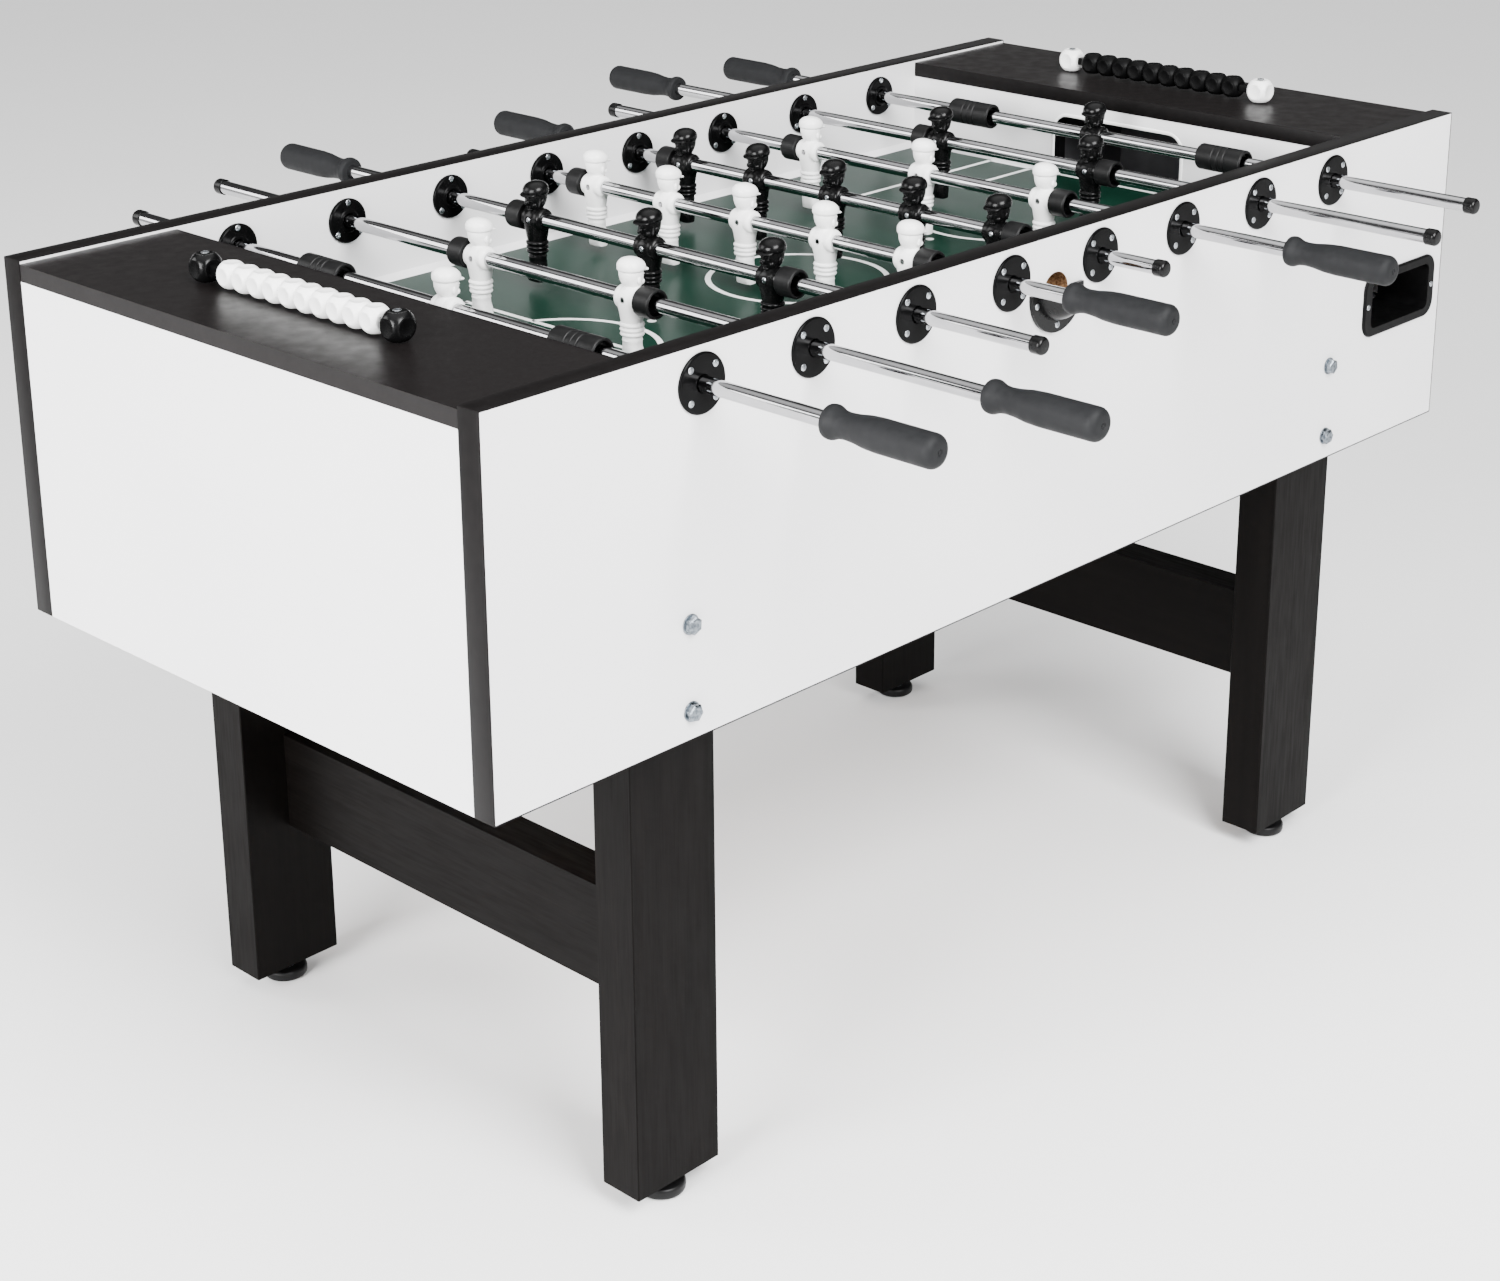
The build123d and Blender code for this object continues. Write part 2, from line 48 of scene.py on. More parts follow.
# ---------------------------------------------------------------- sizes, from the frame where it has them
cabinet_low, cabinet_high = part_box("side_panel_front")
rear_low, rear_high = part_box("side_panel_rear")
boards_low, boards_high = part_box("top_boards")
half_length = cabinet_high.x
outer_y, inner_y = rear_high.y, rear_low.y
field_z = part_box("playfield")[1].z
field_end = 600 * MM
goal_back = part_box("goal_walls")[1].x
goal_half, goal_height = 100 * MM, 78 * MM
line_width = 6.5 * MM
liner_r = 10 * MM
rod_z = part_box("liners_1")[0].z + liner_r
rod_numbers = range(1, 9)
rod_x = {n: sum(corner.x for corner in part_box(f"liners_{n}")) / 2 for n in rod_numbers}
throw_in_z = 847 * MM
post_half = 14 * MM


# ---------------------------------------------------------------- materials
def principled(name, color, roughness, metallic=0.0, specular=0.5):
    """A new material of even colour and roughness, which vary() and bump() break up with noise."""
    material = bpy.data.materials.new(name)
    material.use_nodes = True
    shader = material.node_tree.nodes["Principled BSDF"]
    shader.inputs["Base Color"].default_value = (*color, 1)
    shader.inputs["Roughness"].default_value = roughness
    shader.inputs["Metallic"].default_value = metallic
    shader.inputs["Specular IOR Level"].default_value = specular
    return material


def drawn_out(axis, amount):
    """Noise scale that draws a pattern out along X, Y or Z, for grain or brushing."""
    return tuple(amount if name == axis else 1 for name in "XYZ")


def noise(material, scale, detail=4.0, stretch=(1, 1, 1), distortion=0.0):
    """Output of a noise texture in object space."""
    nodes, links = material.node_tree.nodes, material.node_tree.links
    coordinates = nodes.new("ShaderNodeTexCoord")
    mapping = nodes.new("ShaderNodeMapping")
    mapping.inputs["Scale"].default_value = stretch
    texture = nodes.new("ShaderNodeTexNoise")
    texture.inputs["Scale"].default_value = scale
    texture.inputs["Detail"].default_value = detail
    texture.inputs["Distortion"].default_value = distortion
    links.new(coordinates.outputs["Object"], mapping.inputs["Vector"])
    links.new(mapping.outputs["Vector"], texture.inputs["Vector"])
    return texture.outputs["Fac"]


def vary(material, socket, source, low, high, at=(0.3, 0.7)):
    """Varies a colour or a roughness between two values with a 0..1 source."""
    nodes, links = material.node_tree.nodes, material.node_tree.links
    ramp = nodes.new("ShaderNodeValToRGB")
    for stop, place, value in zip(ramp.color_ramp.elements, at, (low, high)):
        stop.position = place
        stop.color = (*value, 1) if isinstance(value, tuple) else (value, value, value, 1)
    links.new(source, ramp.inputs["Fac"])
    links.new(ramp.outputs["Color"], nodes["Principled BSDF"].inputs[socket])


def bump(material, source, depth):
    """Raises the surface by up to a depth in metres where the source is bright."""
    nodes, links = material.node_tree.nodes, material.node_tree.links
    relief = nodes.new("ShaderNodeBump")
    relief.inputs["Distance"].default_value = depth
    relief.inputs["Strength"].default_value = 1.0
    links.new(source, relief.inputs["Height"])
    links.new(relief.outputs["Normal"], nodes["Principled BSDF"].inputs["Normal"])
    return material


def white_laminate():
    material = principled("white_laminate", (0.74, 0.735, 0.74), 0.32, specular=0.4)
    vary(material, "Base Color", noise(material, 3.0, 3), (0.72, 0.715, 0.725), (0.76, 0.755, 0.76))
    vary(material, "Roughness", noise(material, 22.0), 0.28, 0.36)
    return bump(material, noise(material, 900.0, 2), 0.00002)


def black_laminate():
    material = principled("black_laminate", (0.0045, 0.0036, 0.0036), 0.38, specular=0.14)
    vary(material, "Base Color", noise(material, 260.0, 5), (0.0038, 0.003, 0.003), (0.0056, 0.0046, 0.0046))
    vary(material, "Roughness", noise(material, 60.0), 0.33, 0.44)
    return bump(material, noise(material, 1500.0, 3), 0.00004)


def edge_band():
    material = principled("edge_band", (0.002, 0.0016, 0.0016), 0.45, specular=0.09)
    vary(material, "Base Color", noise(material, 90.0, 4), (0.0022, 0.0018, 0.0018), (0.0036, 0.003, 0.003))
    return bump(material, noise(material, 1800.0, 2), 0.00002)


def grain_foil(name, axis):
    """Near-black foil whose wood grain runs along an axis."""
    material = principled(name, (0.0016, 0.0013, 0.0012), 0.5, specular=0.05)
    grain = noise(material, 90.0, 6, drawn_out(axis, 0.05), distortion=0.4)
    vary(material, "Base Color", grain, (0.0012, 0.0009, 0.0008), (0.0023, 0.0018, 0.0016))
    vary(material, "Roughness", noise(material, 240.0, 4, drawn_out(axis, 0.08)), 0.4, 0.56)
    return bump(material, noise(material, 420.0, 5, drawn_out(axis, 0.04)), 0.00008)


def field_laminate():
    material = principled("field_laminate", (0.0035, 0.02, 0.0125), 0.3, specular=0.04)
    vary(material, "Base Color", noise(material, 5.0, 3), (0.0032, 0.019, 0.0117), (0.0037, 0.0212, 0.0131))
    vary(material, "Roughness", noise(material, 30.0), 0.29, 0.31)
    return bump(material, noise(material, 1100.0, 2), 0.00003)


def line_paint():
    material = principled("line_paint", (0.78, 0.79, 0.78), 0.4)
    vary(material, "Base Color", noise(material, 70.0), (0.74, 0.75, 0.74), (0.82, 0.825, 0.82))
    return bump(material, noise(material, 900.0), 0.00002)


def chipboard():
    material = principled("chipboard", (0.16, 0.08, 0.035), 0.85, specular=0.1)
    dark, light = (0.08, 0.035, 0.014), (0.3, 0.17, 0.085)
    vary(material, "Base Color", noise(material, 420.0, 6), dark, light, at=(0.35, 0.65))
    return bump(material, noise(material, 500.0, 6), 0.0005)


def chrome():
    material = principled("chrome", (0.43, 0.43, 0.44), 0.08, metallic=1.0)
    vary(material, "Base Color", noise(material, 25.0), (0.39, 0.39, 0.4), (0.47, 0.47, 0.48))
    vary(material, "Roughness", noise(material, 160.0, 3, drawn_out("Y", 0.05)), 0.075, 0.1)
    return bump(material, noise(material, 700.0, 2, drawn_out("Y", 0.02)), 0.000002)


def zinc(name="zinc", dull=(0.24, 0.26, 0.28), bright=(0.5, 0.52, 0.54)):
    material = principled(name, bright, 0.3, metallic=1.0)
    vary(material, "Base Color", noise(material, 240.0, 4), dull, bright)
    vary(material, "Roughness", noise(material, 300.0), 0.22, 0.38)
    return bump(material, noise(material, 1300.0), 0.00004)


def grip_rubber():
    dark, light = (0.0048, 0.0051, 0.0057), (0.0077, 0.008, 0.0087)
    material = principled("grip_rubber", light, 0.6, specular=0.16)
    vary(material, "Base Color", noise(material, 180.0, 5), dark, light)
    vary(material, "Roughness", noise(material, 90.0), 0.55, 0.7)
    return bump(material, noise(material, 1400.0, 4), 0.00012)


def bumper_rubber():
    material = principled("bumper_rubber", (0.0035, 0.0035, 0.0036), 0.42, specular=0.18)
    vary(material, "Base Color", noise(material, 150.0), (0.003, 0.003, 0.0031), (0.005, 0.005, 0.0052))
    return bump(material, noise(material, 1500.0), 0.00005)


def black_plastic(name="black_plastic", roughness=0.24, specular=0.16):
    material = principled(name, (0.0016, 0.0016, 0.0017), roughness, specular=specular)
    vary(material, "Base Color", noise(material, 60.0), (0.0013, 0.0013, 0.0014), (0.0024, 0.0024, 0.0025))
    vary(material, "Roughness", noise(material, 120.0), roughness - 0.04, roughness + 0.06)
    return bump(material, noise(material, 900.0), 0.00003)


def chute_plastic():
    material = principled("chute_plastic", (0.035, 0.035, 0.037), 0.38, specular=0.3)
    vary(material, "Base Color", noise(material, 40.0), (0.03, 0.03, 0.032), (0.042, 0.042, 0.045))
    return bump(material, noise(material, 700.0), 0.00003)


def white_plastic():
    material = principled("white_plastic", (0.9, 0.9, 0.89), 0.33)
    shader = material.node_tree.nodes["Principled BSDF"]
    shader.inputs["Subsurface Weight"].default_value = 0.06
    shader.inputs["Subsurface Radius"].default_value = (0.002, 0.002, 0.002)
    vary(material, "Base Color", noise(material, 60.0), (0.88, 0.88, 0.87), (0.92, 0.92, 0.915))
    return bump(material, noise(material, 800.0), 0.00003)


WHITE = white_laminate()
BOARD = black_laminate()
BAND = edge_band()
LEG = grain_foil("leg_foil", "Z")
STRETCHER = grain_foil("stretcher_foil", "Y")
FIELD = field_laminate()
LINES = line_paint()
CHIPBOARD = chipboard()
CHROME = chrome()
ZINC = zinc()
BOLT_ZINC = zinc("bolt_zinc", (0.07, 0.085, 0.1), (0.27, 0.3, 0.33))
GRIP = grip_rubber()
BUMPER = bumper_rubber()
BLACK = black_plastic()
FLANGE_BLACK = black_plastic("flange_black", 0.2, 0.05)
SATIN_BLACK = black_plastic("satin_black", 0.42, 0.06)
CHUTE = chute_plastic()
WHITE_PLASTIC = white_plastic()


def finish_node(name, material):
    """Gives a CAD node that stays visible its finished material."""
    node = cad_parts[name]
    node.data.materials.clear()
    node.data.materials.append(material)


# ---------------------------------------------------------------- mesh helpers
def as_mesh(name, builder):
    """Turns a bmesh into a mesh with its faces outward."""
    mesh = bpy.data.meshes.new(name)
    bmesh.ops.recalc_face_normals(builder, faces=builder.faces)
    builder.to_mesh(mesh)
    builder.free()
    return mesh


def new_piece(name, builder, material, body, smooth_angle=35):
    """Turns a bmesh of one material into an object that rides on a body."""
    return place_piece(name, as_mesh(name, builder), [material], body, smooth_angle)


def place_piece(name, mesh, materials, body, smooth_angle):
    """Makes an object that rides on a body, smooth but for the edges past an angle."""
    for material in materials:
        mesh.materials.append(material)
    mesh.shade_smooth()
    mesh.set_sharp_from_angle(angle=math.radians(smooth_angle))
    piece = bpy.data.objects.new(name, mesh)
    bpy.context.scene.collection.objects.link(piece)
    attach(piece, body)
    return piece


def lathe(target, profile, axis_matrix, steps=48, material_index=0):
    """Revolves (radius, height) points about the matrix's Z axis and adds them to a bmesh."""
    rings = []
    for radius, height in profile:
        if radius < 1e-7:
            rings.append([target.verts.new(axis_matrix @ Vector((0, 0, height)))])
            continue
        angles = [2 * math.pi * k / steps for k in range(steps)]
        circle = [Vector((radius * math.cos(a), radius * math.sin(a), height)) for a in angles]
        rings.append([target.verts.new(axis_matrix @ point) for point in circle])
    for below, above in zip(rings, rings[1:]):
        for k in range(steps):
            following = (k + 1) % steps
            corners = [below[k % len(below)], below[following % len(below)],
                       above[following % len(above)], above[k % len(above)]]
            unique = list(dict.fromkeys(corners))
            if len(unique) > 2:
                target.faces.new(unique).material_index = material_index


def along_y(x, y, z, outward=1):
    """Matrix at x, y, z whose Z axis points along +Y (outward 1) or -Y (outward -1)."""
    turn = Matrix.Rotation(-math.pi / 2 * outward, 4, "X")
    return Matrix.Translation((x, y, z)) @ turn


def rounded(corner_radius, points, steps=6):
    """Rounds every inner corner of an open outline of (radius, height) points."""
    result = [points[0]]
    for before, corner, after in zip(points, points[1:], points[2:]):
        here = Vector(corner)
        to_before, to_after = Vector(before) - here, Vector(after) - here
        reach = min(corner_radius, to_before.length * 0.45, to_after.length * 0.45)
        start = here + to_before.normalized() * reach
        end = here + to_after.normalized() * reach
        for k in range(steps + 1):
            t = k / steps
            result.append(tuple((1 - t) ** 2 * start + 2 * t * (1 - t) * here + t ** 2 * end))
    result.append(points[-1])
    return result


def scaled(points):
    """Millimetre outline points in metres."""
    return [(radius * MM, height * MM) for radius, height in points]


def loft(target, sections, steps=40):
    """Joins horizontal superellipse sections in millimetres: (height, half x, half y, x offset, power)."""
    rings = []
    for height, half_x, half_y, offset, power in sections:
        ring = []
        for k in range(steps):
            a = 2 * math.pi * k / steps
            c, s = math.cos(a), math.sin(a)
            x = math.copysign(abs(c) ** (2 / power), c) * half_x + offset
            y = math.copysign(abs(s) ** (2 / power), s) * half_y
            ring.append(target.verts.new(Vector((x, y, height)) * MM))
        rings.append(ring)
    for below, above in zip(rings, rings[1:]):
        for k in range(steps):
            n = (k + 1) % steps
            target.faces.new((below[k], below[n], above[n], above[k]))
    target.faces.new(list(reversed(rings[0])))
    target.faces.new(rings[-1])


def blob(target, centre, radii):
    """A small ellipsoid, centre and radii in millimetres."""
    matrix = Matrix.Translation(Vector(centre) * MM) @ Matrix.Diagonal((*[r * MM for r in radii], 1))
    bmesh.ops.create_uvsphere(target, u_segments=16, v_segments=10, radius=1, matrix=matrix)


def bevelled_box(target, low, high, width, segments=2):
    """A box between two corners in metres, with rounded edges."""
    low, high = Vector(low), Vector(high)
    matrix = Matrix.Translation((low + high) / 2) @ Matrix.Diagonal((*(high - low), 1))
    made = bmesh.ops.create_cube(target, size=1, matrix=matrix)
    edges = list(dict.fromkeys(edge for vertex in made["verts"] for edge in vertex.link_edges))
    bmesh.ops.bevel(target, geom=edges, offset=width, segments=segments, profile=0.5, affect="EDGES")


def copies(target, mesh, places):
    """Adds a mesh to a bmesh once per matrix."""
    for place in places:
        single = mesh.copy()
        single.transform(place)
        target.from_mesh(single)
        bpy.data.meshes.remove(single)


def carved(blank_builder, tool_builder):
    """The blank's mesh with the tool cut out."""
    blank = bpy.data.objects.new("blank", as_mesh("blank", blank_builder))
    tool = bpy.data.objects.new("tool", as_mesh("tool", tool_builder))
    for thing in (blank, tool):
        bpy.context.scene.collection.objects.link(thing)
    cut = blank.modifiers.new("cut", "BOOLEAN")
    cut.operation = "DIFFERENCE"
    cut.object = tool
    cut.solver = "EXACT"
    cut.use_self = True
    bpy.context.view_layer.update()
    evaluated = blank.evaluated_get(bpy.context.evaluated_depsgraph_get())
    mesh = bpy.data.meshes.new_from_object(evaluated)
    for thing in (blank, tool):
        bpy.data.objects.remove(thing)
    return mesh


# ---------------------------------------------------------------- cabinet
def cabinet_looks():
    """Finishes of the boards, legs and chutes that keep their CAD shapes, and the added edges."""
    for name in ("side_panel_front", "side_panel_rear", "end_panels", "goal_walls", "side_strips"):
        finish_node(name, WHITE)
    finish_node("top_boards", BOARD)
    finish_node("playfield", FIELD)
    finish_node("underfield_boards", CHIPBOARD)
    finish_node("ball_chutes", CHUTE)
    finish_node("legs", LEG)
    finish_node("stretchers", STRETCHER)
    edge_bands()
    board_bands()
    hole_walls()


def edge_bands():
    """Black banding on the top, end and bottom edges of both side panels."""
    proud, lap, depth, bevel = 0.5 * MM, 0.3 * MM, 0.8 * MM, 0.5 * MM
    for name, low, high in (("front", cabinet_low, cabinet_high), ("rear", rear_low, rear_high)):
        builder = bmesh.new()
        y0, y1 = low.y - lap, high.y + lap
        x0, x1 = low.x - proud, high.x + proud
        bevelled_box(builder, (x0, y0, high.z - depth), (x1, y1, high.z + proud), bevel)
        for x in (low.x, high.x):
            bevelled_box(builder, (x - depth, y0, low.z), (x + depth, y1, high.z - 0.1 * MM), bevel)
        bevelled_box(builder, (low.x, y0, low.z - proud), (high.x, y1, low.z + 0.9 * MM), bevel / 2)
        new_piece(f"edge_band_{name}", builder, BAND, "cabinet")


def board_bands():
    """Black edge of the top boards over the goals."""
    builder = bmesh.new()
    proud, depth, gap = 0.8 * MM, 0.6 * MM, 1 * MM
    board_edge = boards_high.x - (half_length - field_end)
    for side in (-1, 1):
        low_x, high_x = sorted((side * (board_edge - proud), side * (board_edge + depth)))
        bevelled_box(builder, (low_x, boards_low.y + gap, boards_low.z - 0.3 * MM),
                     (high_x, boards_high.y - gap, boards_high.z + 0.2 * MM), 0.3 * MM)
    new_piece("board_bands", builder, BAND, "cabinet")


def hole_walls():
    """Raw chipboard wall of the two throw-in holes, radii and depths in millimetres."""
    rim_r, wall_r, lap = 20.65, 20.25, 0.4
    depth = (outer_y - inner_y) / MM
    outline = scaled([(rim_r, lap), (wall_r, 0.0), (wall_r, -depth), (rim_r, -depth - lap)])
    for name, outward in (("front", -1), ("rear", 1)):
        builder = bmesh.new()
        lathe(builder, outline, along_y(0, outward * outer_y, throw_in_z, outward), steps=64)
        new_piece(f"throw_in_wall_{name}", builder, CHIPBOARD, "cabinet")


# ---------------------------------------------------------------- field markings and goals
def ribbon(target, points, closed=False):
    """A flat painted line of even width along points on the field."""
    z0, z1 = field_z - 0.05 * MM, field_z + 0.25 * MM
    count = len(points)
    sides = []
    for k, point in enumerate(points):
        before = points[k - 1] if closed or k else points[k]
        after = points[(k + 1) % count] if closed or k < count - 1 else points[k]
        direction = (Vector(after) - Vector(before)).normalized()
        normal = Vector((-direction.y, direction.x)) * line_width / 2
        left, right = Vector(point) + normal, Vector(point) - normal
        corners = ((left, z1), (right, z1), (right, z0), (left, z0))
        sides.append([target.verts.new((*place, z)) for place, z in corners])
    pairs = zip(sides, sides[1:] + sides[:1]) if closed else zip(sides, sides[1:])
    for a, b in pairs:
        for k in range(4):
            n = (k + 1) % 4
            target.faces.new((a[k], a[n], b[n], b[k]))
    if not closed:
        target.faces.new(sides[0])
        target.faces.new(list(reversed(sides[-1])))


def arc(centre_x, radius, start, end, steps=64):
    """Points of an arc about a place on the field's long axis, angles in degrees."""
    angles = [math.radians(start + (end - start) * k / steps) for k in range(steps + 1)]
    return [(centre_x + radius * math.cos(a), radius * math.sin(a)) for a in angles]


def field_lines():
    """Centre circle and line, two boxes and an arc at each goal, and three spots."""
    circle_r = 102.5 * MM
    line_end = inner_y - 11 * MM
    box_front, box_half = 320 * MM, 203 * MM
    area_front, area_half = 480 * MM, 135 * MM
    spot_x, spot_r = 232 * MM, 5 * MM
    d_centre, d_r = 365 * MM, 105 * MM
    goal_line = field_end - line_width / 2
    spot = [(0, 0), (spot_r, 0), (spot_r, 0.3 * MM), (0, 0.3 * MM)]
    builder = bmesh.new()
    ribbon(builder, arc(0, circle_r, 0, 360)[:-1], closed=True)
    ribbon(builder, [(0, -line_end), (0, line_end)])
    for side in (-1, 1):
        back = side * goal_line
        for front, half in ((side * box_front, box_half), (side * area_front, area_half)):
            ribbon(builder, [(back, -half), (front, -half)])
            ribbon(builder, [(front, -half - line_width / 2), (front, half + line_width / 2)])
            ribbon(builder, [(front, half), (back, half)])
        ribbon(builder, [(back, -box_half), (back, box_half)])
        reach = math.degrees(math.acos((d_centre - box_front) / d_r))
        middle = 180 if side > 0 else 0
        ribbon(builder, arc(side * d_centre, d_r, middle - reach, middle + reach))
        lathe(builder, spot, Matrix.Translation((side * spot_x, 0, field_z)), 24)
    lathe(builder, spot, Matrix.Translation((0, 0, field_z)), 24)
    new_piece("field_lines", builder, LINES, "cabinet")


def goal_outline(inset, corner=20 * MM, steps=8):
    """Goal opening with round upper corners, from one post's foot to the other's, as (y, z)."""
    half, top = goal_half - inset, field_z + goal_height - inset
    radius = corner - inset
    points = [(-half, field_z)]
    for side, start in ((-1, 180), (1, 90)):
        for k in range(steps + 1):
            a = math.radians(start - 90 * k / steps)
            y, z = side * (half - radius), top - radius
            points.append((y + radius * math.cos(a), z + radius * math.sin(a)))
    points.append((half, field_z))
    return points


def goal_shell(outlines, closed=False):
    """Surface through goal outlines, each with its x, and back to the first when closed."""
    builder = bmesh.new()
    strips = [[builder.verts.new((x, y, z)) for y, z in outline] for outline, x in outlines]
    following = strips[1:] + strips[:1] if closed else strips[1:]
    for a, b in zip(strips, following):
        for k in range(len(a) - 1):
            builder.faces.new((a[k], a[k + 1], b[k + 1], b[k]))
    return builder


def goal_linings():
    """Dark lining through the goal opening, with a light rounded rim on the field side."""
    outer, inner = goal_outline(-0.2 * MM), goal_outline(1.2 * MM)
    rim_foot, rim_edge = goal_outline(1.0 * MM), goal_outline(0.2 * MM)
    rim_back, rim_side = goal_outline(-2.4 * MM, 21 * MM), goal_outline(-3.2 * MM, 21 * MM)
    for name, side in (("near", -1), ("far", 1)):
        face_x, back_x = side * field_end, side * goal_back
        corners = [(outer, face_x), (inner, face_x), (inner, back_x), (outer, back_x)]
        lining = goal_shell(corners, closed=True)
        new_piece(f"goal_lining_{name}", lining, SATIN_BLACK, "cabinet")
        proud = face_x - side * 1.0 * MM
        shoulder, sunk = proud + side * 0.5 * MM, face_x + side * MM
        rim = goal_shell([(rim_foot, sunk), (rim_foot, shoulder), (rim_edge, proud),
                          (rim_back, proud), (rim_side, shoulder), (rim_side, sunk)])
        new_piece(f"goal_rim_{name}", rim, WHITE_PLASTIC, "cabinet")


# ---------------------------------------------------------------- screws and bolts
def cross_screw(radius, height):
    """Domed screw head with a cross recess, its underside at z = 0."""
    dome = bmesh.new()
    outline = [(0, 0), (radius, 0), (radius, height * 0.3)]
    for degrees in (20, 40, 60, 75):
        a = math.radians(degrees)
        outline.append((radius * math.cos(a), height * (0.3 + 0.7 * math.sin(a))))
    outline.append((0, height))
    lathe(dome, outline, Matrix.Identity(4), steps=28)
    cutter = bmesh.new()
    arm, thick, depth, spare = radius * 0.55, radius * 0.16, height * 0.6, 0.3 * MM
    middle = Matrix.Translation((0, 0, height - depth / 2 + spare))
    for half_x, half_y in ((arm, thick), (thick, arm)):
        size = Matrix.Diagonal((2 * half_x, 2 * half_y, depth + 2 * spare, 1))
        bmesh.ops.create_cube(cutter, size=1, matrix=middle @ size)
    return carved(dome, cutter)


def on_circle(x, z, radius, degrees):
    """The x and z of a place on a circle that stands along the table."""
    a = math.radians(degrees)
    return x + radius * math.cos(a), z + radius * math.sin(a)


def flange_screw_places():
    """Four screws on each outer flange and three on each inner one, each turned its own way."""
    outer_face, inner_face = outer_y + 3.4 * MM, inner_y - 4.9 * MM
    offset, inner_r = 16 * MM, 21 * MM
    places = []
    for n in rod_numbers:
        for outward in (-1, 1):
            for across in (-1, 1):
                for up in (-1, 1):
                    turn = Matrix.Rotation(0.7 * n + 1.3 * across + 0.5 * up, 4, "Z")
                    x, z = rod_x[n] + across * offset, rod_z + up * offset
                    places.append(along_y(x, outward * outer_face, z, outward) @ turn)
            for degrees in (90, 220, 320):
                turn = Matrix.Rotation(0.9 * n + math.radians(degrees), 4, "Z")
                x, z = on_circle(rod_x[n], rod_z, inner_r, degrees)
                places.append(along_y(x, outward * inner_face, z, -outward) @ turn)
    return places


def cup_screw_places():
    """Three screws on the flange of each throw-in cup and one at each end of the return cup."""
    throw_in_r, throw_in_face = 36 * MM, outer_y + 3.9 * MM
    return_x, return_face = 72.5 * MM, outer_y + 3.4 * MM
    places = []
    for outward in (-1, 1):
        for degrees in (195, 270, 345):
            x, z = on_circle(0, throw_in_z, throw_in_r, degrees)
            places.append(along_y(x, outward * throw_in_face, z, outward))
    cup_low, cup_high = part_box("return_cup")
    middle = (cup_low + cup_high) / 2
    for dx in (-return_x, return_x):
        places.append(along_y(middle.x + dx, -return_face, middle.z, -1))
    return places


def post_screw_places():
    """One wider screw sunk in the top of each score post."""
    low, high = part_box("score_frames")
    wider, sunk, inset_x = Matrix.Diagonal((1.25, 1.25, 1, 1)), 0.6 * MM, 15 * MM
    return [Matrix.Translation((x, y, high.z - sunk)) @ wider
            for x in (low.x + inset_x, high.x - inset_x)
            for y in (low.y + post_half, high.y - post_half)]


def plate_screws():
    """Cross-head screws of the flanges, cups and score posts."""
    builder = bmesh.new()
    places = flange_screw_places() + cup_screw_places() + post_screw_places()
    copies(builder, cross_screw(radius=3.5 * MM, height=1.1 * MM), places)
    piece = new_piece("screw_heads", builder, ZINC, "cabinet", 40)
    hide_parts("plate_screws")


def hexagon_bolt():
    """Hexagon head with a chamfer and a flat crown on a round washer, the washer's top at z = 0."""
    across_r = 9.3 * MM
    head_builder = bmesh.new()
    hexagon = [Vector((math.cos(math.radians(60 * k)), math.sin(math.radians(60 * k)), 0)) for k in range(6)]
    rings = []
    for height, share in ((0, 1.0), (5.2, 1.0), (6.4, 0.86)):
        rise = Vector((0, 0, height * MM))
        rings.append([head_builder.verts.new(corner * across_r * share + rise) for corner in hexagon])
    for a, b in zip(rings, rings[1:]):
        for k in range(6):
            head_builder.faces.new((a[k], a[(k + 1) % 6], b[(k + 1) % 6], b[k]))
    head_builder.faces.new(rings[-1])
    crown = [(6.8, 6.4), (6.2, 6.75), (0, 6.8)]
    washer = rounded(0.4, [(0, -1.6), (10.3, -1.6), (10.3, 0.0), (0, 0.0)])
    lathe(head_builder, scaled(crown), Matrix.Identity(4), 32)
    lathe(head_builder, scaled(washer), Matrix.Identity(4), 40)
    return as_mesh("bolt_head", head_builder)


def leg_bolt_looks():
    """A hexagon bolt outside and a nut inside at every leg hole, each turned its own way."""
    low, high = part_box("leg_bolts")
    washer_r, washer_thick, leg_width = 10 * MM, 1.6 * MM, 52 * MM
    places = []
    for x in (low.x + washer_r, high.x - washer_r):
        for z in (low.z + washer_r, high.z - washer_r):
            twist = Matrix.Rotation(math.radians(17 + 900 * x + 400 * z), 4, "Z")
            for outward in (-1, 1):
                places.append(along_y(x, outward * (outer_y + washer_thick), z, outward) @ twist)
                places.append(along_y(x, outward * (inner_y - leg_width), z, -outward) @ twist)
    builder = bmesh.new()
    copies(builder, hexagon_bolt(), places)
    piece = new_piece("leg_bolt_heads", builder, BOLT_ZINC, "cabinet", 25)
    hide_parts("leg_bolts")


# ---------------------------------------------------------------- flanges
def flange_looks():
    """Glossy round bearing flanges outside, and plates with a raised collar round the rod inside."""
    outer = [(8.5, -1), (8.5, 3.3), (28.6, 3.3), (30, 2.2), (30, 0), (13, 0)]
    inner = [(8.5, -1), (8.5, 6), (12, 6), (13.6, 4.8), (24, 4.8), (25.5, 3), (25.5, 0), (13, 0)]
    outer_plate, inner_plate = scaled(rounded(1.4, outer)), scaled(rounded(1.6, inner))
    builder = bmesh.new()
    for n in rod_numbers:
        for outward in (-1, 1):
            lathe(builder, outer_plate, along_y(rod_x[n], outward * outer_y, rod_z, outward), 72)
            lathe(builder, inner_plate, along_y(rod_x[n], outward * inner_y, rod_z, -outward), 72)
    piece = new_piece("flange_plates", builder, FLANGE_BLACK, "cabinet", 30)
    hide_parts("bearing_flanges")
    for n in rod_numbers:
        finish_node(f"liners_{n}", FLANGE_BLACK)


